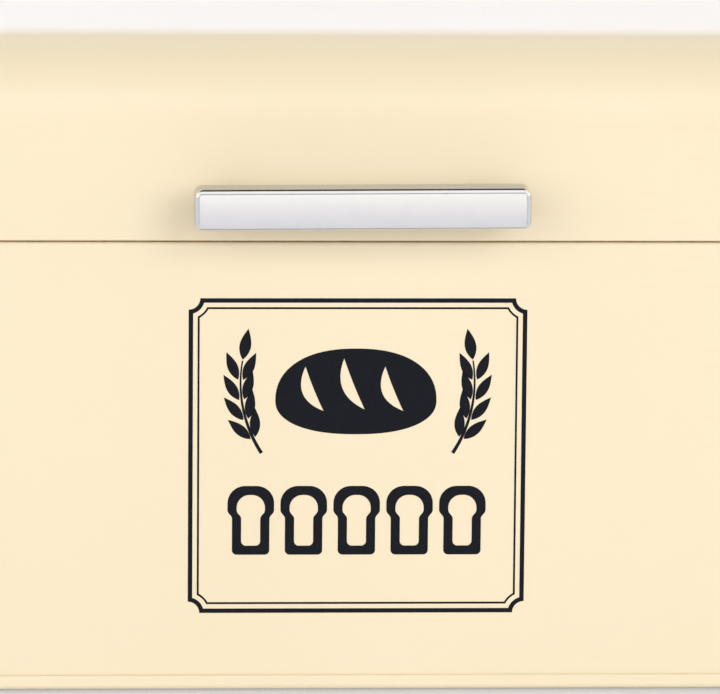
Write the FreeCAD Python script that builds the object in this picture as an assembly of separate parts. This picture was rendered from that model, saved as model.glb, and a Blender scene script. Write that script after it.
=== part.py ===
import FreeCAD, Part
import math
import os

# A steel bread bin: an open bin on four rubber feet, and a lid that swings up and back on two hinges
# behind it. Millimetres, +Z up, front towards -Y. Z = 0 is the table. Every shape is drawn about the
# middle of the bin, and then moved so that the whole footprint, handle and hinges included, is
# centred on the origin.

# The bin and its lid
width = 425.0                # outside of the wall, left to right
depth = 210.0                # outside of the wall, front to back
height = 166.0               # from the table to the top of the lid
corner_radius = 40.0         # upright corners, outside
sheet = 0.7                  # steel of the wall and the lid
shoulder_z = 114.6           # top of the wall's outer face, where the lid comes down
seam_gap = 0.4               # open line between the wall's shoulder and the lid's rim
shoulder_radius = 1.2
lip_inset = 2.3              # the lip inside the lid, from the wall's outer face
lip_height = 6.5
hem_height = 4.0             # folded edges of the lid and the lip
hem_radius = 0.65
lid_roll_radius = 19.5       # from the lid's sides into its top

# The base plate, clenched round the wall's lower edge
base_sheet = 0.8
foot_gap = 0.6               # the base's rim stands this far above the table
rim_height = 3.75
rim_radius = 1.1
wall_bottom_gap = 0.3        # between the wall's edge and the bottom of the clenched channel
panel_step_inset = 24.0      # where the middle of the base is pressed up
panel_step_run = 2.0
panel_step_rise = 1.5
panel_ring_inset = 30.0

# Feet
foot_radius = 7.0
foot_neck_radius = 2.5
foot_head_radius = 3.75
foot_head_height = 1.8
foot_corner_reach = 25.0     # from the centre of a corner's arc to the foot

# Handle
handle_length = 82.8
handle_height = 10.0
handle_depth = 10.0
handle_reach = 22.0          # from the lid's face to the front of the handle
handle_bottom_z = 121.2
handle_corner_radius = 2.0
handle_bevel = 0.9
handle_back_radius = 1.0
leg_spacing = 64.0
leg_radius = 3.5
leg_collar_radius = 3.9
leg_collar_depth = 1.2
screw_radius = 1.5
screw_hole_depth = 12.0
screw_clearance = 0.15
screw_head_radius = 2.8
screw_head_height = 2.0
screw_head_fillet = 1.1
screw_grip = 9.0             # thread inside the leg
recess_length = 3.0          # cross recess in the screw's head
recess_width = 0.7
recess_depth = 1.1
washer_radius = 4.5
washer_thickness = 0.8

# Hinges
hinge_x = 120.0
hinge_width = 44.0
hinge_sheet = 1.0
knuckle_count = 5
knuckle_gap = 0.3
knuckle_radius = 3.0
pin_radius = 1.5
pin_running_clearance = 0.05
pin_head_radius = 2.5
pin_head_height = 1.0
axis_stand_off = 3.3         # pin axis behind the wall's outer face
leaf_height = 24.0           # from the pin axis to the leaf's far edge
leaf_corner_radius = 3.0
joggle_start = 3.6           # the leaf steps back from the wall between these heights
joggle_end = 4.6
joggle_step = 0.3
leaf_cutout = 4.0            # clear of the other leaf's knuckles
opening_angle = 100.0
stop_start = 4.8             # the opened leaf rests on the stop lug between these two
stop_end = 7.0               # distances from the pin axis
stop_gap = 0.05
stop_thickness = 2.0
rivet_positions = (-14.0, 0.0, 14.0)
rivet_height = 14.0          # from the pin axis
rivet_radius = 1.6
rivet_head_radius = 3.2
rivet_head_height = 1.3
rivet_head_fillet = 0.9
rivet_tail_radius = 2.6
rivet_tail_height = 1.0
rivet_tail_fillet = 0.5

# Bumpers between the lid and the lip
bumper_x = 150.0
bumper_width = 12.0
bumper_height = 8.0
bumper_depth = 3.8
bumper_radius = 1.0

# Vents and the wall's upright lock seam, at the back
vent_radius = 2.0
vent_pitch = 12.0
vent_count = 7
vent_z = 92.0
lock_seam_width = 8.0
lock_seam_thickness = 0.7
lock_groove_width = 0.3
lock_groove_depth = 0.25

half_width = width / 2
half_depth = depth / 2
rim_bottom_z = foot_gap
rim_top_z = rim_bottom_z + rim_height
panel_underside_z = rim_top_z - base_sheet
lip_top_z = shoulder_z + lip_height
lid_bottom_z = shoulder_z + seam_gap
axis_z = shoulder_z + seam_gap / 2
axis_y = half_depth + axis_stand_off
x_direction = FreeCAD.Vector(1, 0, 0)
y_direction = FreeCAD.Vector(0, 1, 0)
z_direction = FreeCAD.Vector(0, 0, 1)
middle = FreeCAD.Vector(0, 0, 0)


def opened(y, z):
    """Where a point beside the pin axis goes when the lid is fully open."""
    angle = math.radians(opening_angle)
    return y * math.cos(angle) + z * math.sin(angle), z * math.cos(angle) - y * math.sin(angle)


leaf_face_y = hinge_sheet - axis_stand_off
stop_tip_y, stop_tip_z = opened(leaf_face_y, stop_end)
hinge_reach = axis_stand_off + stop_tip_y
footprint_shift = (handle_reach - hinge_reach) / 2


def save(shape, name):
    """Centre a piece's place in the whole footprint, and write it out."""
    placed = shape.copy()
    placed.translate(y_direction * footprint_shift)
    placed.exportStep(f"parts/{name}.step")
    solids = placed.Solids
    volume = sum(solid.Volume for solid in solids)
    print(f"{name}: {len(solids)} solid(s), {volume:.1f} mm3, valid {placed.isValid()}")


def box(x_low, x_high, y_low, y_high, z_low, z_high):
    corner = FreeCAD.Vector(x_low, y_low, z_low)
    return Part.makeBox(x_high - x_low, y_high - y_low, z_high - z_low, corner)


def rounded_face(points, radii):
    """A flat face with the given corners, each rounded by its own radius."""
    count = len(points)
    ends = []
    edges = []
    for i in range(count):
        back = (points[i - 1] - points[i]).normalize()
        ahead = (points[(i + 1) % count] - points[i]).normalize()
        half_angle = back.getAngle(ahead) / 2
        trim = radii[i] / math.tan(half_angle)
        start = points[i] + back * trim
        end = points[i] + ahead * trim
        if radii[i]:
            bulge = radii[i] / math.sin(half_angle) - radii[i]
            top = points[i] + (back + ahead).normalize() * bulge
            edges.append(Part.Arc(start, top, end).toShape())
        ends.append((start, end))
    for i in range(count):
        edges.append(Part.makeLine(ends[i - 1][1], ends[i][0]))
    return Part.Face(Part.Wire(Part.__sortEdges__(edges)))


def rounded_slab(inset, z_low, z_high):
    """A flat plate with the bin's outline, inset from the wall's outer face."""
    x = half_width - inset
    y = half_depth - inset
    points = [FreeCAD.Vector(*place, z_low) for place in ((-x, -y), (x, -y), (x, y), (-x, y))]
    face = rounded_face(points, [corner_radius - inset] * 4)
    return face.extrude(z_direction * (z_high - z_low))


def wrap(profile):
    """Carry a section once round the bin. The profile's corners are (inset from the wall's outer
    face, height, corner radius): four straight runs, and a quarter turn at each corner."""
    points = [FreeCAD.Vector(corner_radius - inset, 0, z) for inset, z, radius in profile]
    section = rounded_face(points, [radius for inset, z, radius in profile])
    centre_x = half_width - corner_radius
    centre_y = half_depth - corner_radius
    corners = (
        (centre_x, centre_y, 2 * centre_y),
        (-centre_x, centre_y, 2 * centre_x),
        (-centre_x, -centre_y, 2 * centre_y),
        (centre_x, -centre_y, 2 * centre_x),
    )
    runs = []
    for turn, (x, y, length) in enumerate(corners):
        bend = section.revolve(middle, z_direction, 90)
        straight = section.extrude(y_direction * -length)
        for run in (bend, straight):
            run.rotate(middle, z_direction, 90 * turn)
            run.translate(FreeCAD.Vector(x, y, 0))
            runs.append(run)
    return runs[0].multiFuse(runs[1:]).removeSplitter()


def turned(profile, x, y):
    """A solid of revolution about an upright line, from (radius, height) corners."""
    points = [FreeCAD.Vector(radius, 0, z) for radius, z in profile]
    solid = rounded_face(points, [0] * len(points)).revolve(middle, z_direction, 360)
    solid.translate(FreeCAD.Vector(x, y, 0))
    return solid


def rod(radius, x, z, y_from, y_to):
    """A cylinder along Y."""
    towards = y_direction if y_to > y_from else y_direction * -1
    return Part.makeCylinder(radius, abs(y_to - y_from), FreeCAD.Vector(x, y_from, z), towards)


def edges_at(shape, axis, value):
    """The edges that lie wholly at one value of x, y or z."""
    found = []
    for edge in shape.Edges:
        limits = edge.BoundBox
        low = getattr(limits, axis + "Min")
        high = getattr(limits, axis + "Max")
        if abs(low - value) < 0.001 and abs(high - value) < 0.001:
            found.append(edge)
    return found


def body_wall():
    """The wrapped wall: a shoulder under the lid, a hemmed lip that stands inside the lid, a row of
    vents and the upright lock seam at the back."""
    profile = (
        (0, rim_bottom_z + base_sheet + wall_bottom_gap, 0),
        (0, shoulder_z, shoulder_radius),
        (lip_inset, shoulder_z, shoulder_radius - sheet),
        (lip_inset, lip_top_z, hem_radius),
        (lip_inset + 2 * sheet, lip_top_z, hem_radius),
        (lip_inset + 2 * sheet, lip_top_z - hem_height, 0.2),
        (lip_inset + sheet, lip_top_z - hem_height, 0),
        (lip_inset + sheet, shoulder_z - sheet, shoulder_radius),
        (sheet, shoulder_z - sheet, shoulder_radius - sheet),
        (sheet, rim_bottom_z + base_sheet + wall_bottom_gap, 0),
    )
    wall = wrap(profile)
    inner_y = half_depth - sheet
    seam_top_z = shoulder_z - sheet
    half_seam = lock_seam_width / 2
    seam = box(-half_seam, half_seam, inner_y - lock_seam_thickness, inner_y, rim_top_z, seam_top_z)
    groove_x = lock_groove_width / 2
    groove_y = half_depth - lock_groove_depth
    groove_top_z = shoulder_z - shoulder_radius
    groove = box(-groove_x, groove_x, groove_y, half_depth, rim_top_z, groove_top_z)
    holes = [groove]
    for side in (-1, 1):
        for i in range(vent_count):
            x = side * (lock_seam_width + vent_pitch * (i + 0.5))
            holes.append(rod(vent_radius, x, vent_z, half_depth - 5, half_depth + 5))
    for x, z in rivet_places(-1):
        holes.append(rod(rivet_radius, x, z, half_depth - 5, half_depth + 5))
    return wall.fuse(seam).removeSplitter().cut(holes)


def foot_places():
    """Where the four feet stand: (name, x, y), in the round corners of the base."""
    reach = foot_corner_reach * math.cos(math.radians(45))
    x = half_width - corner_radius + reach
    y = half_depth - corner_radius + reach
    return (
        ("foot_front_left", -x, -y),
        ("foot_front_right", x, -y),
        ("foot_rear_left", -x, y),
        ("foot_rear_right", x, y),
    )


def base_plate():
    """The pressed base, its edge folded down inside the wall and clenched up round the outside."""
    raised_z = rim_top_z + panel_step_rise
    raised_underside_z = raised_z - base_sheet
    leg_inset = sheet + base_sheet
    profile = (
        (-base_sheet, rim_top_z, 0.35),
        (-base_sheet, rim_bottom_z, rim_radius),
        (leg_inset, rim_bottom_z, rim_radius),
        (leg_inset, panel_underside_z, 0.4),
        (panel_step_inset, panel_underside_z, 1.6),
        (panel_step_inset + panel_step_run, raised_underside_z, 1.0),
        (panel_ring_inset, raised_underside_z, 0),
        (panel_ring_inset, raised_z, 0),
        (panel_step_inset + panel_step_run, raised_z, 1.8),
        (panel_step_inset, rim_top_z, 0.8),
        (sheet, rim_top_z, 0.9),
        (sheet, rim_bottom_z + base_sheet, 0.3),
        (0, rim_bottom_z + base_sheet, 0.3),
        (0, rim_top_z, 0.3),
    )
    plate = wrap(profile)
    middle_panel = rounded_slab(panel_ring_inset, raised_underside_z, raised_z)
    plate = plate.fuse(middle_panel).removeSplitter()
    holes = []
    for name, x, y in foot_places():
        below = FreeCAD.Vector(x, y, 0)
        holes.append(Part.makeCylinder(foot_neck_radius, 2 * rim_top_z, below))
    return plate.cut(holes)


def foot(x, y):
    """A push-in rubber foot: a pad under the base, a neck through it and a barbed head above it."""
    chamfer = 0.8
    head_shoulder = 0.5
    profile = (
        (0, 0),
        (foot_radius - chamfer, 0),
        (foot_radius, chamfer),
        (foot_radius, panel_underside_z),
        (foot_neck_radius, panel_underside_z),
        (foot_neck_radius, rim_top_z),
        (foot_head_radius, rim_top_z),
        (foot_head_radius, rim_top_z + head_shoulder),
        (foot_neck_radius, rim_top_z + foot_head_height),
        (0, rim_top_z + foot_head_height),
    )
    return turned(profile, x, y)


def leg_places():
    """Where the handle's two legs meet the lid, as (x, z)."""
    leg_z = handle_bottom_z + leg_radius + 0.1
    return ((-leg_spacing / 2, leg_z), (leg_spacing / 2, leg_z))


def lid_shell():
    """The pressed lid: a hemmed rim, upright sides and a rolled edge into a flat top."""
    ring_inset = lid_roll_radius + 5
    profile = (
        (0, lid_bottom_z, hem_radius),
        (0, height, lid_roll_radius),
        (ring_inset, height, 0),
        (ring_inset, height - sheet, 0),
        (sheet, height - sheet, lid_roll_radius - sheet),
        (sheet, lid_bottom_z + hem_height, 0),
        (2 * sheet, lid_bottom_z + hem_height, 0.2),
        (2 * sheet, lid_bottom_z, hem_radius),
    )
    shell = wrap(profile)
    shell = shell.fuse(rounded_slab(ring_inset, height - sheet, height)).removeSplitter()
    holes = []
    for x, z in leg_places():
        hole_radius = screw_radius + screw_clearance
        holes.append(rod(hole_radius, x, z, -half_depth - 5, -half_depth + 5))
    for x, z in rivet_places(1):
        holes.append(rod(rivet_radius, x, z, half_depth - 5, half_depth + 5))
    return shell.cut(holes)


def handle_bar():
    """The cast bar handle: a bevelled bar on two round legs, tapped from behind."""
    front_y = -half_depth - handle_reach
    back_y = front_y + handle_depth
    x = handle_length / 2
    top_z = handle_bottom_z + handle_height
    places = ((-x, handle_bottom_z), (x, handle_bottom_z), (x, top_z), (-x, top_z))
    points = [FreeCAD.Vector(place_x, front_y, z) for place_x, z in places]
    face = rounded_face(points, [handle_corner_radius] * 4)
    bar = face.extrude(y_direction * handle_depth)
    bar = bar.makeChamfer(handle_bevel, edges_at(bar, "Y", front_y))
    bar = bar.makeFillet(handle_back_radius, edges_at(bar, "Y", back_y))
    legs = []
    bores = []
    for leg_x, leg_z in leg_places():
        collar_y = -half_depth - leg_collar_depth
        legs.append(rod(leg_radius, leg_x, leg_z, front_y + handle_depth / 2, -half_depth))
        legs.append(rod(leg_collar_radius, leg_x, leg_z, collar_y, -half_depth))
        bores.append(rod(screw_radius, leg_x, leg_z, -half_depth - screw_hole_depth, -half_depth))
    return bar.multiFuse(legs).removeSplitter().cut(bores)


def handle_screws():
    """Two pan-head screws with cross recesses, driven from inside the lid."""
    seat_y = -half_depth + sheet + washer_thickness
    top_y = seat_y + screw_head_height
    screws = []
    for x, z in leg_places():
        head = rod(screw_head_radius, x, z, seat_y, top_y)
        head = head.makeFillet(screw_head_fillet, edges_at(head, "Y", top_y))
        shank = rod(screw_radius, x, z, seat_y, -half_depth - screw_grip)
        screw = head.fuse(shank).removeSplitter()
        long = recess_length / 2
        short = recess_width / 2
        low_y = top_y - recess_depth
        slots = [
            box(x - long, x + long, low_y, top_y, z - short, z + short),
            box(x - short, x + short, low_y, top_y, z - long, z + long),
        ]
        screws.append(screw.cut(slots))
    return Part.makeCompound(screws)


def handle_washers():
    washers = []
    seat_y = -half_depth + sheet
    for x, z in leg_places():
        disc = rod(washer_radius, x, z, seat_y, seat_y + washer_thickness)
        hole = rod(screw_radius + screw_clearance, x, z, seat_y, seat_y + washer_thickness)
        washers.append(disc.cut(hole))
    return Part.makeCompound(washers)


def knuckle_span(hinge_centre, index):
    """One knuckle's reach in x."""
    pitch = hinge_width / knuckle_count
    start = hinge_centre - hinge_width / 2 + pitch * index
    return start + knuckle_gap / 2, start + pitch - knuckle_gap / 2


def extrude_x(corners, x_low, x_high):
    """A prism along X from (y, z) corners, measured from the pin axis."""
    points = [FreeCAD.Vector(x_low, axis_y + y, axis_z + z) for y, z in corners]
    return rounded_face(points, [0] * len(points)).extrude(x_direction * (x_high - x_low))


def hinge_leaf(hinge_centre, up, own_knuckles, bore_radius):
    """A leaf and its rolled knuckles. up is 1 for the lid's leaf and -1 for the bin's."""
    flat_y = -axis_stand_off
    near_y = flat_y + joggle_step
    corners = (
        (flat_y, joggle_end),
        (near_y, joggle_start),
        (near_y, 0),
        (near_y + hinge_sheet, 0),
        (near_y + hinge_sheet, joggle_start),
        (flat_y + hinge_sheet, joggle_end),
        (flat_y + hinge_sheet, leaf_height),
        (flat_y, leaf_height),
    )
    x_low = hinge_centre - hinge_width / 2
    x_high = hinge_centre + hinge_width / 2
    leaf = extrude_x([(y, up * z) for y, z in corners], x_low, x_high)
    outline_places = ((x_low, 0), (x_high, 0), (x_high, leaf_height), (x_low, leaf_height))
    points = [FreeCAD.Vector(x, axis_y + flat_y, axis_z + up * z) for x, z in outline_places]
    outline = rounded_face(points, [0, 0, leaf_corner_radius, leaf_corner_radius])
    leaf = leaf.common(outline.extrude(y_direction * axis_stand_off))
    cuts = []
    barrels = []
    for index in range(knuckle_count):
        start, end = knuckle_span(hinge_centre, index)
        if index in own_knuckles:
            centre = FreeCAD.Vector(start, axis_y, axis_z)
            barrels.append(Part.makeCylinder(knuckle_radius, end - start, centre, x_direction))
        else:
            start = max(start - knuckle_gap, x_low)
            end = min(end + knuckle_gap, x_high)
            z_low, z_high = sorted((axis_z - up, axis_z + up * leaf_cutout))
            cuts.append(box(start, end, axis_y - axis_stand_off - 1, axis_y, z_low, z_high))
    for edge_x in (x_low, x_high - knuckle_gap / 2):
        z_low, z_high = sorted((axis_z - up, axis_z + up * leaf_cutout))
        y_low = axis_y - axis_stand_off - 1
        cuts.append(box(edge_x, edge_x + knuckle_gap / 2, y_low, axis_y, z_low, z_high))
    leaf = leaf.cut(cuts).multiFuse(barrels)
    pin_start = FreeCAD.Vector(x_low - 1, axis_y, axis_z)
    holes = [Part.makeCylinder(bore_radius, hinge_width + 2, pin_start, x_direction)]
    for x, z in rivet_places(up):
        holes.append(rod(rivet_radius, x, z, half_depth - 1, half_depth + 5))
    return leaf.cut(holes).removeSplitter()


def body_leaf(hinge_centre):
    """The bin's leaf, with the lug behind its middle knuckle that stops the opened lid's leaf."""
    leaf = hinge_leaf(hinge_centre, -1, (0, 2, 4), pin_radius)
    rest_y, rest_z = opened(leaf_face_y, stop_start)
    lug = (
        (0, -0.8 * knuckle_radius),
        (stop_tip_y, stop_tip_z - stop_thickness),
        (stop_tip_y, stop_tip_z - stop_gap),
        (rest_y, rest_z - stop_gap),
        (0.7 * knuckle_radius, 0.2 * knuckle_radius),
    )
    start, end = knuckle_span(hinge_centre, 2)
    lug_solid = extrude_x(lug, start, end)
    bore_start = FreeCAD.Vector(start - 1, axis_y, axis_z)
    bore = Part.makeCylinder(pin_radius, end - start + 2, bore_start, x_direction)
    return leaf.fuse(lug_solid.cut(bore)).removeSplitter()


def lid_leaf(hinge_centre):
    return hinge_leaf(hinge_centre, 1, (1, 3), pin_radius + pin_running_clearance)


def hinge_pin(hinge_centre):
    """The pin, held in the bin's knuckles, with a spread head at each end."""
    start, _ = knuckle_span(hinge_centre, 0)
    _, end = knuckle_span(hinge_centre, knuckle_count - 1)
    first = FreeCAD.Vector(start - pin_head_height, axis_y, axis_z)
    last = FreeCAD.Vector(end, axis_y, axis_z)
    length = end - start + 2 * pin_head_height
    shaft = Part.makeCylinder(pin_radius, length, first, x_direction)
    heads = [
        Part.makeCylinder(pin_head_radius, pin_head_height, first, x_direction),
        Part.makeCylinder(pin_head_radius, pin_head_height, last, x_direction),
    ]
    pin = shaft.multiFuse(heads).removeSplitter()
    rims = edges_at(pin, "X", start - pin_head_height) + edges_at(pin, "X", end + pin_head_height)
    return pin.makeFillet(0.6, rims)


def rivet_places(up):
    """Where the rivets of the lid's leaves (up = 1) or the bin's leaves (up = -1) go, as (x, z)."""
    places = []
    for side in (-1, 1):
        for x in rivet_positions:
            places.append((side * hinge_x + x, axis_z + up * rivet_height))
    return places


def hinge_rivets(up):
    """Domed rivets through a leaf and the sheet behind it, closed on the inside."""
    head_y = half_depth + hinge_sheet
    top_y = head_y + rivet_head_height
    inner_y = half_depth - sheet
    tail_y = inner_y - rivet_tail_height
    rivets = []
    for x, z in rivet_places(up):
        head = rod(rivet_head_radius, x, z, head_y, top_y)
        head = head.makeFillet(rivet_head_fillet, edges_at(head, "Y", top_y))
        tail = rod(rivet_tail_radius, x, z, inner_y, tail_y)
        tail = tail.makeFillet(rivet_tail_fillet, edges_at(tail, "Y", tail_y))
        shank = rod(rivet_radius, x, z, inner_y, head_y)
        rivets.append(shank.multiFuse([head, tail]).removeSplitter())
    return Part.makeCompound(rivets)


def bumper(x):
    """A soft pad stuck inside the lid's front, standing on the lip when the lid is shut."""
    low_y = -half_depth + sheet
    high_y = low_y + bumper_depth
    x_low = x - bumper_width / 2
    block = box(x_low, x_low + bumper_width, low_y, high_y, lip_top_z, lip_top_z + bumper_height)
    return block.makeFillet(bumper_radius, edges_at(block, "Y", high_y))


os.makedirs("parts", exist_ok=True)

save(body_wall(), "body_wall")
save(base_plate(), "base_plate")
for foot_name, foot_x, foot_y in foot_places():
    save(foot(foot_x, foot_y), foot_name)

save(lid_shell(), "lid_shell")
save(handle_bar(), "handle_bar")
save(handle_screws(), "handle_screws")
save(handle_washers(), "handle_washers")

for side_name, side in (("left", -1), ("right", 1)):
    save(body_leaf(side * hinge_x), f"hinge_{side_name}_body_leaf")
    save(lid_leaf(side * hinge_x), f"hinge_{side_name}_lid_leaf")
    save(hinge_pin(side * hinge_x), f"hinge_{side_name}_pin")
    save(bumper(side * bumper_x), f"bumper_{side_name}")
save(hinge_rivets(-1), "hinge_body_rivets")
save(hinge_rivets(1), "hinge_lid_rivets")
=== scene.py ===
import math

import bmesh
import bpy
from mathutils import Matrix, Vector


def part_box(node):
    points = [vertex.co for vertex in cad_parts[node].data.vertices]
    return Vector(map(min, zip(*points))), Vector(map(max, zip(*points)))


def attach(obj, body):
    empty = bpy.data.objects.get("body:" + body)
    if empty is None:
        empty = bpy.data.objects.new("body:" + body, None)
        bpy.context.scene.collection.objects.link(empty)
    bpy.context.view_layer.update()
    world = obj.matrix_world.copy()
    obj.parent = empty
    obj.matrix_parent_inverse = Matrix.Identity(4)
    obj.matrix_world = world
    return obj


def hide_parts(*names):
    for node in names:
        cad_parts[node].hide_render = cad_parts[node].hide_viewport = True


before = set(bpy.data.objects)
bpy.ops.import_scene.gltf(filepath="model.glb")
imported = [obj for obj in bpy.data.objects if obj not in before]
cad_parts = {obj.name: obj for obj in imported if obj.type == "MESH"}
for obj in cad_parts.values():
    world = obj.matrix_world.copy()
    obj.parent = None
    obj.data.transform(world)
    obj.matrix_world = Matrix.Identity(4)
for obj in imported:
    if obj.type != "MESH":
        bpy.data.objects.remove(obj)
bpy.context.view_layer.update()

# The bread bin's looks, built round its CAD frame. Metres, front towards -Y, +Z up. Lengths below
# are given in millimetres times MM. Pieces that are pressed or bent from sheet are swept round the
# bin's rounded outline from the CAD model's sections, with finer curves and edges of their own.

MM = 0.001

# The bin's outline and its levels, from the frame
wall_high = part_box("body_wall")[1]
lid_low, lid_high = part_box("lid_shell")
base_low, base_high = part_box("base_plate")
bar_low, bar_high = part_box("handle_bar")
half_width = (lid_high.x - lid_low.x) / 2
half_depth = (lid_high.y - lid_low.y) / 2
bin_centre_y = (lid_high.y + lid_low.y) / 2
front_y = lid_low.y
back_y = lid_high.y
lip_top_z = wall_high.z
rim_bottom_z = base_low.z

# Sheet metal, as the CAD model has it, apart from the radii of the shoulder, the hems and the rim
sheet = 0.7 * MM
base_sheet = 0.8 * MM
corner_radius = 40 * MM
roll_radius = 19.5 * MM
seam_gap = 0.4 * MM
shoulder_z = lid_low.z - seam_gap
shoulder_radius = 1.0 * MM
lip_inset = 2.3 * MM
hem_height = 4 * MM
hem_radius = 0.5 * MM
rim_top_z = rim_bottom_z + 3.75 * MM
rim_radius = 1.5 * MM
wall_bottom_gap = 0.3 * MM
panel_step_inset = 24 * MM
panel_step_run = 2 * MM
panel_ring_inset = 30 * MM
top_ring_inset = 25 * MM
lock_seam_half_width = 4 * MM
lock_seam_thickness = 0.7 * MM
lock_groove_half_width = 0.15 * MM
lock_groove_depth = 0.25 * MM
vent_radius = 2 * MM
vent_pitch = 12 * MM
vent_first_x = 14 * MM
vents_each_side = 7
vent_z = 92 * MM

# The handle's bar and legs
handle_depth = 10 * MM
handle_height = 10 * MM
handle_corner_radius = 2 * MM
handle_back_radius = 1 * MM
handle_panel_inset = 1.2 * MM
handle_panel_sunk = 0.2 * MM
handle_panel_drop = 0.35 * MM     # the panel sits this far below the bar's middle,
handle_panel_rise = 0.4 * MM      # and reaches this much further up and down than its ends do
handle_panel_dome = 0.2 * MM
handle_tilt = 0.36                # degrees, left end low, as fitted
handle_groove_depth = 0.2 * MM    # below the panel
handle_groove_width = 0.1 * MM    # across the groove's floor
handle_groove_slope = 0.09 * MM   # run of each of its sides
inner_bevel_inset = 0.86 * MM     # the shallow inner bevel runs outwards from here,
inner_bevel_top = 0.02 * MM       # from this far behind the front
inner_bevel_depth = 0.21 * MM     # to this far,
outer_bevel_inset = 0.32 * MM     # where the steep outer bevel takes over
outer_bevel_depth = 0.98 * MM     # and runs to the bar's side
bevels_end = 1.1 * MM             # all that lies deeper has the duller plating, darkened as painted shade
leg_spacing = 64 * MM
leg_radius = 3.5 * MM
leg_collar_radius = 3.9 * MM
leg_collar_depth = 1.2 * MM
bar_top_z = bar_high.z
leg_z = bar_top_z - handle_height + leg_radius + 0.1 * MM

# The printed emblem
ink_thickness = 0.05 * MM
emblem_width = 84.7 * MM
emblem_height = 80.3 * MM
emblem_centre_z = 60.4 * MM
border_outer_line = 1.12 * MM
border_inner_line = 0.5 * MM
border_spacing = 1.95 * MM
border_notch = 2.9 * MM

CORNER_STEPS = 24        # spans in each quarter turn of the outline
ARC_STEPS = 10           # spans in a rounded bend of a section


# ---------------------------------------------------------------- shapes

def rounded_chain(corners, closed):
    """Points along a 2-D chain of (a, b, radius) corners, each bend a true arc. Long arcs get more
    points than short ones."""
    count = len(corners)
    points = []
    for i, (a, b, radius) in enumerate(corners):
        here = Vector((a, b))
        inner = closed or 0 < i < count - 1
        if not radius or not inner:
            points.append(here)
            continue
        back = (Vector(corners[i - 1][:2]) - here).normalized()
        ahead = (Vector(corners[(i + 1) % count][:2]) - here).normalized()
        half_angle = back.angle(ahead) / 2
        centre = here + (back + ahead).normalized() * (radius / math.sin(half_angle))
        start = here + back * (radius / math.tan(half_angle)) - centre
        end = here + ahead * (radius / math.tan(half_angle)) - centre
        turn = start.angle_signed(end)
        steps = ARC_STEPS * (3 if radius > 5 * MM else 1)
        for step in range(steps + 1):
            angle = -turn * step / steps
            cosine = math.cos(angle)
            sine = math.sin(angle)
            arm = (start.x * cosine - start.y * sine, start.x * sine + start.y * cosine)
            points.append(centre + Vector(arm))
    return points


def outline(half_a, half_b, radius, side_steps):
    """A rounded rectangle about the origin, anticlockwise, as (a, b) points."""
    points = []
    centre_a = half_a - radius
    centre_b = half_b - radius
    for quarter, (side_a, side_b) in enumerate(((1, 1), (-1, 1), (-1, -1), (1, -1))):
        for step in range(CORNER_STEPS + 1):
            angle = math.radians(90) * (quarter + step / CORNER_STEPS)
            a = side_a * centre_a + radius * math.cos(angle)
            b = side_b * centre_b + radius * math.sin(angle)
            points.append(Vector((a, b)))
        turn = math.radians(90) * (quarter + 1)
        run = 2 * (centre_a if quarter % 2 == 0 else centre_b)
        along = Vector((-math.sin(turn), math.cos(turn)))
        for step in range(1, side_steps):
            points.append(points[-1] + along * (run / side_steps))
    return points


def finish_mesh(name, mesh_builder, crease_degrees=35):
    """An object from a bmesh: normals out, smooth, with creases where the surface really turns."""
    bmesh.ops.recalc_face_normals(mesh_builder, faces=mesh_builder.faces)
    mesh = bpy.data.meshes.new(name)
    mesh_builder.to_mesh(mesh)
    mesh_builder.free()
    piece = bpy.data.objects.new(name, mesh)
    bpy.context.scene.collection.objects.link(piece)
    smooth(piece, crease_degrees)
    return piece


def smooth(piece, crease_degrees):
    piece.data.polygons.foreach_set("use_smooth", [True] * len(piece.data.polygons))
    piece.data.set_sharp_from_angle(angle=math.radians(crease_degrees))
    weights = piece.modifiers.new("even normals", "WEIGHTED_NORMAL")
    weights.keep_sharp = True
    weights.weight = 100


def sweep(name, section, half_a, half_b, radius, place, side_steps=8, closed=True):
    """Carry a section of (inset, height) points round a rounded rectangle. place turns (a, b,
    inset, height) into a point. An open section is closed with a flat face at each end."""
    builder = bmesh.new()
    rings = []
    for inset, height in section:
        ring = outline(half_a - inset, half_b - inset, max(radius - inset, 0.01 * MM), side_steps)
        rings.append([builder.verts.new(place(*point, inset, height)) for point in ring])
    count = len(rings[0])
    last = len(rings) if closed else len(rings) - 1
    for i in range(last):
        near = rings[i]
        far = rings[(i + 1) % len(rings)]
        for j in range(count):
            k = (j + 1) % count
            builder.faces.new((near[j], near[k], far[k], far[j]))
    if not closed:
        builder.faces.new(rings[0])
        builder.faces.new(rings[-1])
    return finish_mesh(name, builder)


def on_bin(a, b, inset, height):
    return Vector((a, bin_centre_y + b, height))


def sweep_on_bin(name, corners, closed):
    section = rounded_chain(corners, closed)
    return sweep(name, section, half_width, half_depth, corner_radius, on_bin, 12, closed)


def add_block(builder, low, high):
    """Add a box between two corners to a bmesh."""
    size = Vector(high) - Vector(low)
    middle = (Vector(high) + Vector(low)) / 2
    matrix = Matrix.Translation(middle) @ Matrix.Diagonal((*size, 1))
    bmesh.ops.create_cube(builder, size=1, matrix=matrix)


def add_turned(builder, profile, centre, steps=48):
    """Add a solid turned about a line along Y, from (radius, distance along Y) points, to a bmesh."""
    rings = []
    for radius, along in profile:
        ring = []
        for step in range(steps):
            angle = math.tau * step / steps
            offset = Vector((radius * math.cos(angle), along, radius * math.sin(angle)))
            ring.append(builder.verts.new(centre + offset))
        rings.append(ring)
    for near, far in zip(rings, rings[1:]):
        for j in range(steps):
            k = (j + 1) % steps
            builder.faces.new((near[j], near[k], far[k], far[j]))
    builder.faces.new(rings[0])
    builder.faces.new(rings[-1])


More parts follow.
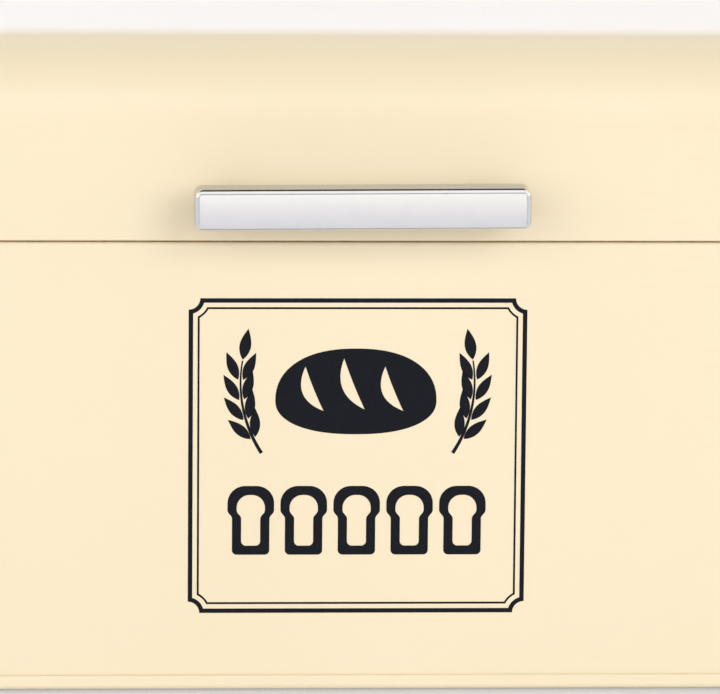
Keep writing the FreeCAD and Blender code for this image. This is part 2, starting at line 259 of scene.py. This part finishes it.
def settle(piece):
    """Apply a piece's modifiers."""
    graph = bpy.context.evaluated_depsgraph_get()
    finished = bpy.data.meshes.new_from_object(piece.evaluated_get(graph))
    piece.modifiers.clear()
    piece.data = finished


def cut_with(piece, cutter_builder, operation="DIFFERENCE"):
    """Cut a bmesh's solids out of a piece, or join them to it, for good."""
    bmesh.ops.recalc_face_normals(cutter_builder, faces=cutter_builder.faces)
    mesh = bpy.data.meshes.new("cutter")
    cutter_builder.to_mesh(mesh)
    cutter_builder.free()
    cutter = bpy.data.objects.new("cutter", mesh)
    bpy.context.scene.collection.objects.link(cutter)
    piece.modifiers.clear()
    boolean = piece.modifiers.new("cut", "BOOLEAN")
    boolean.operation = operation
    boolean.solver = "EXACT"
    boolean.object = cutter
    settle(piece)
    bpy.data.objects.remove(cutter)
    smooth(piece, 35)


# ---------------------------------------------------------------- materials

class Surface:
    """A Principled material whose maps are worked out from the object's own coordinates."""

    def __init__(self, name):
        self.material = bpy.data.materials.new(name)
        self.material.use_nodes = True
        self.tree = self.material.node_tree
        self.shader = self.tree.nodes["Principled BSDF"]
        self.coordinates = self.tree.nodes.new("ShaderNodeTexCoord").outputs["Object"]

    def set(self, **values):
        for name, value in values.items():
            self.shader.inputs[name.replace("_", " ")].default_value = value

    def noise(self, scale, detail=2.0, stretch=(1, 1, 1)):
        """Noise from 0 to 1. Scale is in features per metre."""
        mapping = self.tree.nodes.new("ShaderNodeMapping")
        mapping.inputs["Scale"].default_value = stretch
        texture = self.tree.nodes.new("ShaderNodeTexNoise")
        texture.inputs["Scale"].default_value = scale
        texture.inputs["Detail"].default_value = detail
        self.tree.links.new(self.coordinates, mapping.inputs["Vector"])
        self.tree.links.new(mapping.outputs["Vector"], texture.inputs["Vector"])
        return texture.outputs["Fac"]

    def spread(self, value, low, high, start=0.3, end=0.7):
        """Stretch a 0 to 1 value between two numbers."""
        node = self.tree.nodes.new("ShaderNodeMapRange")
        node.inputs["From Min"].default_value = start
        node.inputs["From Max"].default_value = end
        node.inputs["To Min"].default_value = low
        node.inputs["To Max"].default_value = high
        self.tree.links.new(value, node.inputs["Value"])
        return node.outputs["Result"]

    def blend(self, value, first, second):
        """A colour between two colours."""
        node = self.tree.nodes.new("ShaderNodeMix")
        node.data_type = "RGBA"
        node.inputs["A"].default_value = (*first, 1)
        node.inputs["B"].default_value = (*second, 1)
        self.tree.links.new(value, node.inputs["Factor"])
        return node.outputs["Result"]

    def drive(self, name, output):
        self.tree.links.new(output, self.shader.inputs[name])

    def bump(self, *layers):
        """Stack bump layers of (height from 0 to 1, depth in metres)."""
        normal = None
        for height, depth in layers:
            node = self.tree.nodes.new("ShaderNodeBump")
            node.inputs["Strength"].default_value = 1.0
            node.inputs["Distance"].default_value = depth
            self.tree.links.new(height, node.inputs["Height"])
            if normal:
                self.tree.links.new(normal, node.inputs["Normal"])
            normal = node.outputs["Normal"]
        self.drive("Normal", normal)


def cream_paint():
    """Satin powder coat: faint clouding, a fine orange peel and a little variation in gloss."""
    surface = Surface("cream powder coat")
    clouds = surface.noise(9, 3)
    grain = surface.noise(1400, 2)
    peel = surface.noise(420, 2)
    surface.drive("Base Color", surface.blend(
        surface.spread(clouds, 0, 1), (0.86, 0.725, 0.492), (0.88, 0.748, 0.52)))
    surface.drive("Roughness", surface.spread(grain, 0.34, 0.42))
    surface.set(IOR=1.5, Coat_Weight=0.15, Coat_Roughness=0.2)
    surface.bump((peel, 0.012 * MM), (grain, 0.004 * MM))
    return surface.material


def satin_chrome():
    """The handle's blasted and plated face: fine grain and soft mottling."""
    surface = Surface("satin chrome")
    mottle = surface.noise(160, 3)
    grain = surface.noise(3200, 2)
    surface.set(Metallic=1.0)
    surface.drive("Base Color", surface.blend(
        surface.spread(mottle, 0, 1), (0.925, 0.903, 0.893), (0.945, 0.923, 0.913)))
    surface.drive("Roughness", surface.spread(mottle, 0.30, 0.36))
    surface.bump((grain, 0.0015 * MM))
    return surface.material


def polished_chrome():
    """Bright plating with the faint unevenness of a polished casting."""
    surface = Surface("polished chrome")
    waves = surface.noise(180, 2)
    smudge = surface.noise(60, 4)
    surface.set(Metallic=1.0)
    surface.drive("Base Color", surface.blend(
        surface.spread(smudge, 0, 1), (0.87, 0.87, 0.88), (0.91, 0.91, 0.915)))
    surface.drive("Roughness", surface.spread(smudge, 0.035, 0.07))
    surface.bump((waves, 0.004 * MM))
    return surface.material


def brushed_chrome_painted_shade():
    """Duller brushed plating for the bar's top, underside, ends and back, and its legs; its darker
    base colour is painted shade.
    """
    surface = Surface("brushed chrome with painted shade")
    brushing = surface.noise(1500, 2, (0.05, 1, 1))
    smudge = surface.noise(60, 4)
    surface.set(Metallic=1.0, Specular_Tint=(0.72, 0.73, 0.76, 1))
    # Painted shade: this base colour sits well below the polished chrome's, so the top, groove, ends
    # and back read darker.
    surface.drive("Base Color", surface.blend(
        surface.spread(smudge, 0, 1), (0.69, 0.695, 0.715), (0.75, 0.75, 0.765)))
    surface.drive("Roughness", surface.spread(smudge, 0.12, 0.2))
    surface.bump((brushing, 0.002 * MM))
    return surface.material


def plated_steel(name, dark, light, roughness):
    """Zinc-plated steel: rolled grain along the piece and cloudy plating."""
    surface = Surface(name)
    clouds = surface.noise(220, 4)
    rolling = surface.noise(900, 2, (0.15, 1, 1))
    surface.set(Metallic=1.0)
    surface.drive("Base Color", surface.blend(surface.spread(clouds, 0, 1), dark, light))
    surface.drive("Roughness", surface.spread(clouds, roughness - 0.06, roughness + 0.08))
    surface.bump((rolling, 0.003 * MM))
    return surface.material


def foot_rubber():
    surface = Surface("foot rubber")
    bloom = surface.noise(120, 4)
    grain = surface.noise(2600, 3)
    surface.drive("Base Color", surface.blend(
        surface.spread(bloom, 0, 1), (0.020, 0.020, 0.021), (0.040, 0.040, 0.042)))
    surface.drive("Roughness", surface.spread(bloom, 0.62, 0.82))
    surface.bump((grain, 0.02 * MM))
    return surface.material


def clear_silicone():
    """Milky clear pads."""
    surface = Surface("clear silicone")
    haze = surface.noise(300, 3)
    surface.drive("Base Color", surface.blend(
        surface.spread(haze, 0, 1), (0.78, 0.78, 0.75), (0.88, 0.88, 0.86)))
    surface.drive("Roughness", surface.spread(haze, 0.22, 0.34))
    surface.set(IOR=1.41, Transmission_Weight=0.55)
    surface.bump((haze, 0.01 * MM))
    return surface.material


def print_ink():
    """Screen-printed ink: near black, with a trace of squeegee grain."""
    surface = Surface("print ink")
    grain = surface.noise(2200, 3)
    surface.drive("Base Color", surface.blend(
        surface.spread(grain, 0, 1), (0.0065, 0.0075, 0.0105), (0.0095, 0.0105, 0.0145)))
    surface.drive("Roughness", surface.spread(grain, 0.42, 0.55))
    surface.set(Specular_IOR_Level=0.1)
    surface.bump((grain, 0.003 * MM))
    return surface.material


def paint_piece(piece, *materials):
    piece.data.materials.clear()
    for material in materials:
        piece.data.materials.append(material)


# ---------------------------------------------------------------- pieces

def make_lid():
    """The lid's shell: rolled edges, upright sides and a closed hem at the rim."""
    hem_top_z = lid_low.z + hem_height
    corners = (
        (top_ring_inset, lid_high.z, 0),
        (0, lid_high.z, roll_radius),
        (0, lid_low.z, hem_radius),
        (2 * sheet, lid_low.z, hem_radius),
        (2 * sheet, hem_top_z, 0.2 * MM),
        (sheet, hem_top_z, 0),
        (sheet, lid_high.z - sheet, roll_radius - sheet),
        (top_ring_inset, lid_high.z - sheet, 0),
    )
    return sweep_on_bin("lid", corners, closed=False)


def make_wall():
    """The wrapped wall, with its shoulder, lip and vents, and the fine groove that the lock seam
    leaves on its outside."""
    bottom_z = rim_bottom_z + base_sheet + wall_bottom_gap
    lip_inner = lip_inset + sheet
    hem_inner = lip_inset + 2 * sheet
    corners = (
        (0, bottom_z, 0),
        (0, shoulder_z, shoulder_radius),
        (lip_inset, shoulder_z, shoulder_radius - sheet),
        (lip_inset, lip_top_z, hem_radius),
        (hem_inner, lip_top_z, hem_radius),
        (hem_inner, lip_top_z - hem_height, 0.2 * MM),
        (lip_inner, lip_top_z - hem_height, 0),
        (lip_inner, shoulder_z - sheet, shoulder_radius),
        (sheet, shoulder_z - sheet, shoulder_radius - sheet),
        (sheet, bottom_z, 0),
    )
    wall = sweep_on_bin("wall", corners, closed=True)
    holes = bmesh.new()
    drill_reach = 4 * MM
    for side in (-1, 1):
        for i in range(vents_each_side):
            x = side * (vent_first_x + vent_pitch * i)
            profile = ((vent_radius, -drill_reach), (vent_radius, drill_reach))
            add_turned(holes, profile, Vector((x, back_y, vent_z)))
    groove = lock_groove_half_width
    low = (-groove, back_y - lock_groove_depth, rim_top_z)
    high = (groove, back_y + 1 * MM, shoulder_z - shoulder_radius)
    add_block(holes, low, high)
    cut_with(wall, holes)
    return wall


def make_lock_seam():
    """The folded seam that closes the wall, on its inside."""
    inner_y = back_y - sheet
    low = Vector((-lock_seam_half_width, inner_y - lock_seam_thickness, rim_top_z + 0.2 * MM))
    high = Vector((lock_seam_half_width, inner_y, shoulder_z - sheet))
    builder = bmesh.new()
    add_block(builder, low, high)
    inner_edges = [
        edge for edge in builder.edges
        if all(abs(vertex.co.y - low.y) < 0.01 * MM for vertex in edge.verts)
    ]
    bmesh.ops.bevel(builder, geom=inner_edges, offset=0.45 * MM, segments=4, affect="EDGES")
    return finish_mesh("lock_seam", builder)


def make_base():
    """The pressed base, its edge clenched round the wall's lower edge."""
    raised_z = base_high.z
    raised_underside_z = raised_z - base_sheet
    panel_underside_z = rim_top_z - base_sheet
    leg_inset = sheet + base_sheet
    step_end = panel_step_inset + panel_step_run
    corners = (
        (panel_ring_inset, raised_underside_z, 0),
        (step_end, raised_underside_z, 1.0 * MM),
        (panel_step_inset, panel_underside_z, 1.6 * MM),
        (leg_inset, panel_underside_z, 0.4 * MM),
        (leg_inset, rim_bottom_z, 0.6 * MM),
        (-base_sheet, rim_bottom_z, rim_radius),
        (-base_sheet, rim_top_z, 0.45 * MM),
        (0, rim_top_z, 0.33 * MM),
        (0, rim_bottom_z + base_sheet, 0.3 * MM),
        (sheet, rim_bottom_z + base_sheet, 0.3 * MM),
        (sheet, rim_top_z, 0.9 * MM),
        (panel_step_inset, rim_top_z, 0.8 * MM),
        (step_end, raised_z, 1.8 * MM),
        (panel_ring_inset, raised_z, 0),
    )
    return sweep_on_bin("base", corners, closed=False)


def make_handle():
    """A double-bevelled bar with a satin panel, domed from top to bottom, inside a groove, on two
    round legs."""
    centre_z = bar_top_z - handle_height / 2
    front = bar_low.y
    half_length = (bar_high.x - bar_low.x) / 2
    half_height = handle_height / 2
    panel_half_height = half_height - handle_panel_inset

    def place(a, b, inset, height):
        """Lower and stretch the panel with its groove and bevels, and dome the panel itself."""
        share = min(inset / handle_panel_inset, 1)
        stretch = 1 + share * handle_panel_rise / panel_half_height
        if inset > handle_panel_inset - 0.01 * MM:
            height -= handle_panel_dome * (1 - (b / panel_half_height) ** 2)
        return Vector((a, front + height, centre_z + b * stretch - handle_panel_drop * share))

    innermost = half_height - 0.2 * MM
    back_inset = 2 * MM
    corners = []
    steps = 10
    for step in range(steps + 1):
        inset = innermost + (handle_panel_inset - innermost) * step / steps
        corners.append((inset, handle_panel_sunk, 0))
    groove_floor = handle_panel_sunk + handle_groove_depth
    groove_inner = handle_panel_inset - handle_groove_slope
    groove_outer = groove_inner - handle_groove_width
    corners += [
        (groove_inner, groove_floor, 0),
        (groove_outer, groove_floor, 0),
        (groove_outer - handle_groove_slope, 0, 0.05 * MM),
        (inner_bevel_inset, inner_bevel_top, 0.05 * MM),
        (outer_bevel_inset, inner_bevel_depth, 0.04 * MM),
        (0, outer_bevel_depth, 0.06 * MM),
        (0, handle_depth, handle_back_radius),
        (back_inset, handle_depth, 0),
    ]
    section = rounded_chain(corners, closed=False)
    bar = sweep(
        "handle", section, half_length, half_height, handle_corner_radius, place, closed=False)
    legs = bmesh.new()
    leg_sunk_in_bar = 2 * MM
    for side in (-1, 1):
        centre = Vector((side * leg_spacing / 2, front_y, leg_z))
        reach = front + handle_depth - leg_sunk_in_bar - front_y
        profile = rounded_chain((
            (leg_radius, reach, 0),
            (leg_radius, -leg_collar_depth, 0.5 * MM),
            (leg_collar_radius, -leg_collar_depth, 0.3 * MM),
            (leg_collar_radius, 0, 0),
        ), closed=False)
        add_turned(legs, profile, centre)
    cut_with(bar, legs, "UNION")
    middle = Matrix.Translation((0, 0, centre_z))
    tilt = Matrix.Rotation(math.radians(-handle_tilt), 4, "Y")
    bar.data.transform(middle @ tilt @ middle.inverted())
    return bar


def mark_finishes_and_painted_shade(handle):
    """Give the front panel the second of the bar's materials, and the third, whose darker colour is
    painted shade, to the groove above and below it, the bar's ends and all that lies behind the
    bevels."""
    centre_z = bar_top_z - handle_height / 2 - handle_panel_drop
    reach_x = (bar_high.x - bar_low.x) / 2 - handle_panel_inset
    reach_z = handle_height / 2 - handle_panel_inset + handle_panel_rise
    groove = 0.2 * MM
    panel_depth = 0.3 * MM
    end_facing = 0.85
    for face in handle.data.polygons:
        slope = face.center.x * math.tan(math.radians(handle_tilt))
        off_x = abs(face.center.x) - reach_x
        off_z = abs(face.center.z - centre_z - slope) - reach_z
        depth = face.center.y - bar_low.y
        off = max(off_x, off_z)
        # painted shade: the groove, the ends and all behind the bevels take the darker chrome
        in_long_groove = off < groove and off_z > off_x
        at_end = off > groove and abs(face.normal.x) > end_facing
        if off < 0 and depth < panel_depth:
            face.material_index = 1
        elif in_long_groove or at_end or depth > bevels_end:
            face.material_index = 2


# ---------------------------------------------------------------- the printed emblem

def print_shape(name, outlines):
    """A flat ink shape on the front of the wall, from closed outlines of (x, z) points about the
    emblem's centre. An outline inside another is a hole."""
    curve = bpy.data.curves.new(name, "CURVE")
    curve.dimensions = "2D"
    curve.fill_mode = "BOTH"
    curve.extrude = ink_thickness
    for points in outlines:
        spline = curve.splines.new("POLY")
        spline.points.add(len(points) - 1)
        for target, (x, z) in zip(spline.points, points):
            target.co = (x, z, 0, 1)
        spline.use_cyclic_u = True
    holder = bpy.data.objects.new(name, curve)
    bpy.context.scene.collection.objects.link(holder)
    bpy.context.view_layer.update()
    graph = bpy.context.evaluated_depsgraph_get()
    mesh = bpy.data.meshes.new_from_object(holder.evaluated_get(graph))
    bpy.data.objects.remove(holder)
    upright = Matrix.Rotation(math.radians(90), 4, "X")
    place = Matrix.Translation((0, front_y, emblem_centre_z))
    mesh.transform(place @ upright)
    piece = bpy.data.objects.new(name, mesh)
    bpy.context.scene.collection.objects.link(piece)
    return piece


def notched_frame(inset):
    """The border's outline at an inset: a rectangle with a quarter circle bitten out of each
    corner."""
    half_x = emblem_width / 2
    half_z = emblem_height / 2
    radius = border_notch + inset
    start = math.asin(inset / radius)
    steps = 12
    points = []
    for quarter, (side_x, side_z) in enumerate(((1, 1), (-1, 1), (-1, -1), (1, -1))):
        arc = []
        for step in range(steps + 1):
            angle = start + (math.radians(90) - 2 * start) * step / steps
            x = side_x * (half_x - radius * math.sin(angle))
            z = side_z * (half_z - radius * math.cos(angle))
            arc.append((x, z))
        points += arc if quarter % 2 == 0 else arc[::-1]
    return points


def make_border():
    outer = (notched_frame(0), notched_frame(border_outer_line))
    start = border_spacing + (border_outer_line - border_inner_line) / 2
    inner = (notched_frame(start), notched_frame(start + border_inner_line))
    return print_shape("print_border", (*outer, *inner))


def pointed_oval(centre, lean, length, width, bow):
    """A shape with a point at each end, bowed sideways, leaning this many degrees from level."""
    along = Vector((math.cos(math.radians(lean)), math.sin(math.radians(lean))))
    across = Vector((-along.y, along.x))
    points = []
    steps = 20
    for side in (1, -1):
        for step in range(steps):
            t = (step / steps if side == 1 else 1 - step / steps) * 2 - 1
            swell = (1 - t * t) * (bow + side * width / 2)
            points.append(centre + along * (t * length / 2) + across * swell)
    return points


def make_loaf():
    """A plain level loaf, domed above and flatter below, with three slanting cuts in its crust."""
    half_length = 20.2 * MM
    top_height = 13.2 * MM
    bottom_height = 8.6 * MM
    centre = Vector((-0.4, 14.2)) * MM
    cut_pitch = 10 * MM
    cut_lean = 112                      # degrees from level
    cut_width = 3 * MM
    cut_bow = 1.7 * MM
    middle_cut = Vector((-0.4, 4.2)) * MM
    middle_cut_length = 14 * MM
    side_cut_drop = 1.2 * MM
    side_cut_shortening = 1.8 * MM
    crust = []
    steps = 120
    for step in range(steps):
        angle = math.tau * step / steps
        cosine = math.cos(angle)
        sine = math.sin(angle)
        rise = top_height if sine > 0 else bottom_height
        x = half_length * math.copysign(abs(cosine) ** 0.86, cosine)
        z = rise * math.copysign(abs(sine) ** 0.9, sine)
        crust.append((centre.x + x, centre.y + z))
    outlines = [crust]
    for i in (-1, 0, 1):
        place = centre + middle_cut + Vector((cut_pitch * i, -side_cut_drop * abs(i)))
        length = middle_cut_length - side_cut_shortening * abs(i)
        cut = pointed_oval(place, cut_lean, length, cut_width, cut_bow)
        outlines.append([(point.x, point.y) for point in cut])
    return print_shape("print_loaf", outlines)


def grain_outline(base, direction, length, width):
    """One grain of an ear: a pointed oval that starts at base."""
    across = Vector((direction.y, -direction.x))
    points = []
    steps = 12
    for side in (1, -1):
        for step in range(steps):
            t = step / steps if side == 1 else 1 - step / steps
            bulge = width / 2 * math.sin(math.pi * t ** 0.85)
            points.append(base + direction * (length * t) + across * (side * bulge))
    return points


def make_ear(name, side):
    """An ear of wheat: a bowed stem, four pairs of grains and one more at the tip. On the inside of
    the bow the grains overlap."""
    radius = 33 * MM
    foot = Vector((-24.0, 0.8)) * MM
    start_lean = math.radians(-33)
    stem_length = 24.6 * MM
    stem_width = 0.9 * MM
    stem_taper = 0.6
    first_pair = 4.4 * MM
    pair_spacing = 5.1 * MM
    pairs = 4
    grain_offset = 0.62 * MM
    grain_spread = math.radians(24)
    side_grain = (7.6 * MM, 2.6 * MM)
    tip_grain = (8.0 * MM, 2.9 * MM)
    tip_gap = 0.25 * MM

    def stem_point(distance):
        """Where the stem is, and which way it leans, this far from its foot."""
        lean = start_lean + distance / radius
        x = radius * (math.cos(start_lean) - math.cos(lean))
        z = radius * (math.sin(lean) - math.sin(start_lean))
        return foot + Vector((x, z)), lean

    def mirrored(points):
        return [(side * point.x, point.y) for point in points]

    left = []
    right = []
    steps = 24
    for step in range(steps + 1):
        point, lean = stem_point(stem_length * step / steps)
        taper = 1 - stem_taper * step / steps
        across = Vector((math.cos(lean), -math.sin(lean))) * (stem_width / 2 * taper)
        left.append(point - across)
        right.append(point + across)
    pieces = [print_shape(f"{name}_stem", [mirrored(left + right[::-1])])]
    grains = []
    for i in range(pairs):
        for turn in (-1, 1):
            base, lean = stem_point(first_pair + pair_spacing * i)
            across = Vector((math.cos(lean), -math.sin(lean)))
            base = base + across * (turn * grain_offset)
            grains.append((base, lean + turn * grain_spread, *side_grain))
    base, lean = stem_point(stem_length + tip_gap)
    grains.append((base, lean, *tip_grain))
    for i, (base, angle, length, width) in enumerate(grains):
        direction = Vector((math.sin(angle), math.cos(angle)))
        points = mirrored(grain_outline(base, direction, length, width))
        pieces.append(print_shape(f"{name}_grain_{i + 1}", [points]))
    return pieces


def slice_outline(centre_x, inset):
    """A slice of tin bread: straight sides under a wider, rounded crown."""
    body = 4.7 * MM - inset
    crown = 5.85 * MM - inset
    height = 17.6 * MM - inset
    waist_z = 9.6 * MM
    crown_z = 11.0 * MM
    crown_radius = 4.4 * MM - 0.5 * inset
    floor_z = -25.2 * MM
    right = [
        (body, inset, 1.2 * MM),
        (body, waist_z, 1.3 * MM),
        (crown, crown_z, 1.5 * MM),
        (crown, height, crown_radius),
    ]
    left = [(-x, z, radius) for x, z, radius in reversed(right)]
    chain = rounded_chain(right + left, closed=True)
    return [(centre_x + point.x, floor_z + point.y) for point in chain]


def make_slices():
    """A row of five slices, where a word would be."""
    pitch = 13.3 * MM
    crust = 2.3 * MM
    count = 5
    pieces = []
    for i in range(count):
        centre_x = (i - (count - 1) / 2) * pitch
        outlines = (slice_outline(centre_x, 0), slice_outline(centre_x, crust))
        pieces.append(print_shape(f"print_slice_{i + 1}", outlines))
    return pieces


# ---------------------------------------------------------------- studio

def softbox(name, place, aim, width, height, power, colour):
    """A soft light that stays out of sight and out of reflections: the room's strips are what
    shines in the gloss."""
    light = bpy.data.lights.new(name, "AREA")
    light.shape = "RECTANGLE"
    light.size = width
    light.size_y = height
    light.energy = power
    light.color = colour
    lamp = bpy.data.objects.new(name, light)
    bpy.context.scene.collection.objects.link(lamp)
    lamp.location = place
    lamp.rotation_mode = "QUATERNION"
    lamp.rotation_quaternion = (Vector(aim) - Vector(place)).to_track_quat("-Z", "Y")
    lamp.visible_camera = False
    lamp.visible_glossy = False


def make_surround():
    """A studio room lit in strips that run from side to side: a bright front wall, a dim ceiling, a
    bright strip behind it, one dark slot, and a bright, cool backdrop down to the horizon behind.
    Each strip has an angle, from 0 at the front's horizon to 180 at the back's, and a glow, as one
    number or as a colour. The strips fade out towards the two sides."""
    warm = (1.28, 1.23, 1.15)
    cool = (1.50, 1.59, 1.95)
    cool_bright = (2.3, 2.55, 3.3)
    strips = (
        (0, warm), (14, warm), (20, 1.0), (33, 1.0), (39, 0.33), (70, 0.33), (96, 0.30),
        (106, 0.60), (112, 1.75), (122, 1.75), (125, 0.05), (137, 0.05),
        (140, cool_bright), (158, cool), (180, cool),
    )
    brightest = 3.3
    side_glow = 1.2
    fade_start = 0.75
    fade_end = 0.95
    world = bpy.data.worlds.new("studio")
    world.use_nodes = True
    tree = world.node_tree

    def math_node(operation, first, second=None):
        node = tree.nodes.new("ShaderNodeMath")
        node.operation = operation
        for socket, value in zip(node.inputs, (first, second)):
            if isinstance(value, float):
                socket.default_value = value
            elif value is not None:
                tree.links.new(value, socket)
        return node.outputs["Value"]

    axes = tree.nodes.new("ShaderNodeSeparateXYZ")
    tree.links.new(tree.nodes.new("ShaderNodeTexCoord").outputs["Generated"], axes.inputs[0])
    forward = math_node("MULTIPLY", axes.outputs["Y"], -1.0)
    angle = math_node("ARCTAN2", axes.outputs["Z"], forward)
    ramp = tree.nodes.new("ShaderNodeValToRGB")
    tree.links.new(math_node("DIVIDE", angle, math.pi), ramp.inputs["Fac"])
    while len(ramp.color_ramp.elements) < len(strips):
        ramp.color_ramp.elements.new(0.5)
    for element, (degrees, glow) in zip(ramp.color_ramp.elements, strips):
        colour = glow if isinstance(glow, tuple) else (glow, glow, glow)
        element.position = degrees / 180
        element.color = (*[level / brightest for level in colour], 1)
    fade = tree.nodes.new("ShaderNodeMapRange")
    fade.inputs["From Min"].default_value = fade_start
    fade.inputs["From Max"].default_value = fade_end
    tree.links.new(math_node("ABSOLUTE", axes.outputs["X"]), fade.inputs["Value"])
    blend = tree.nodes.new("ShaderNodeMix")
    blend.data_type = "RGBA"
    blend.inputs["B"].default_value = (*[side_glow / brightest] * 3, 1)
    tree.links.new(fade.outputs["Result"], blend.inputs["Factor"])
    tree.links.new(ramp.outputs["Color"], blend.inputs["A"])
    background = tree.nodes["Background"]
    tree.links.new(blend.outputs["Result"], background.inputs["Color"])
    background.inputs["Strength"].default_value = brightest
    bpy.context.scene.world = world


def make_studio():
    """A pale table whose emission is painted light, a little everywhere and most near the bin, a pool
    of painted light that also lightens the shade at the bin's foot; with the room and two softboxes.
    """
    near_painted_light = 0.24
    far_painted_light = 0.11
    near = 0.18             # metres from the middle of the bin
    far = 0.40
    builder = bmesh.new()
    bmesh.ops.create_grid(builder, x_segments=1, y_segments=1, size=8)
    floor = finish_mesh("floor", builder)
    surface = Surface("studio floor")
    tone = surface.noise(3, 3)
    surface.drive("Base Color", surface.blend(
        surface.spread(tone, 0, 1), (0.55, 0.55, 0.555), (0.57, 0.57, 0.575)))
    surface.set(Roughness=0.6, Emission_Color=(0.97, 1.0, 1.06, 1))
    # Painted light: the table's emission is strongest within near of the bin's middle and fades to a
    # faint glow beyond far.
    distance = surface.tree.nodes.new("ShaderNodeVectorMath")
    distance.operation = "LENGTH"
    surface.tree.links.new(surface.coordinates, distance.inputs[0])
    glow = surface.spread(distance.outputs["Value"], near_painted_light, far_painted_light, near, far)
    surface.drive("Emission Strength", glow)
    paint_piece(floor, surface.material)
    make_surround()
    middle = (0, 0, 0.09)
    softbox("key", (0.7, -1.8, 0.7), middle, 0.8, 0.8, 10.3, (0.97, 1.0, 1.04))
    softbox("fill", (-0.55, -1.8, 0.5), middle, 1.3, 1.1, 7.1, (0.95, 1.0, 1.14))


def make_camera():
    """A long lens, a little left of the middle, looking down ten degrees, rolled so that the seam
    is level."""
    elevation = math.radians(10)
    azimuth = math.radians(-2.8)
    distance = 1.5
    aim = Vector((0.5 * MM, front_y, 88.2 * MM))
    level = math.cos(elevation)
    back = Vector((level * math.sin(azimuth), -level * math.cos(azimuth), math.sin(elevation)))
    up = back.cross(Vector((1, 0, 0))).normalized()
    data = bpy.data.cameras.new("camera")
    data.lens = 300
    data.sensor_width = 36
    data.clip_start = 0.05
    data.clip_end = 50
    camera = bpy.data.objects.new("camera", data)
    bpy.context.scene.collection.objects.link(camera)
    camera.location = aim + back * distance
    camera.rotation_mode = "QUATERNION"
    camera.rotation_quaternion = Matrix((up.cross(back), up, back)).transposed().to_quaternion()
    bpy.context.scene.camera = camera


# ---------------------------------------------------------------- put together

cream = cream_paint()
satin = satin_chrome()
chrome = polished_chrome()
# The duller chrome's darker base colour is painted shade.
dull_chrome_painted_shade = brushed_chrome_painted_shade()
leaf_steel = plated_steel("zinc plate", (0.52, 0.53, 0.54), (0.62, 0.62, 0.63), 0.32)
bright_steel = plated_steel("bright steel", (0.60, 0.60, 0.61), (0.70, 0.70, 0.71), 0.24)
rubber = foot_rubber()
silicone = clear_silicone()
ink = print_ink()

lid = make_lid()
paint_piece(lid, cream)
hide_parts("lid_shell")
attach(lid, "lid")

wall = make_wall()
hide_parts("body_wall")
base = make_base()
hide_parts("base_plate")
for piece in (wall, make_lock_seam(), base):
    paint_piece(piece, cream)
    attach(piece, "bin")

handle = make_handle()
# The third material, the darker chrome, carries painted shade.
paint_piece(handle, chrome, satin, dull_chrome_painted_shade)
mark_finishes_and_painted_shade(handle)
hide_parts("handle_bar")
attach(handle, "lid")

emblem = [make_border(), make_loaf(), *make_slices()]
emblem += make_ear("print_left_ear", 1) + make_ear("print_right_ear", -1)
for piece in emblem:
    paint_piece(piece, ink)
    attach(piece, "bin")

node_materials = {"foot": rubber, "bumper": silicone, "handle": bright_steel}
for name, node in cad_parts.items():
    material = node_materials.get(name.split("_")[0])
    if material is None:
        material = leaf_steel if name.endswith("leaf") else bright_steel
    paint_piece(node, material)
    smooth(node, 35)

make_studio()
make_camera()
bpy.context.scene.view_settings.view_transform = "Standard"
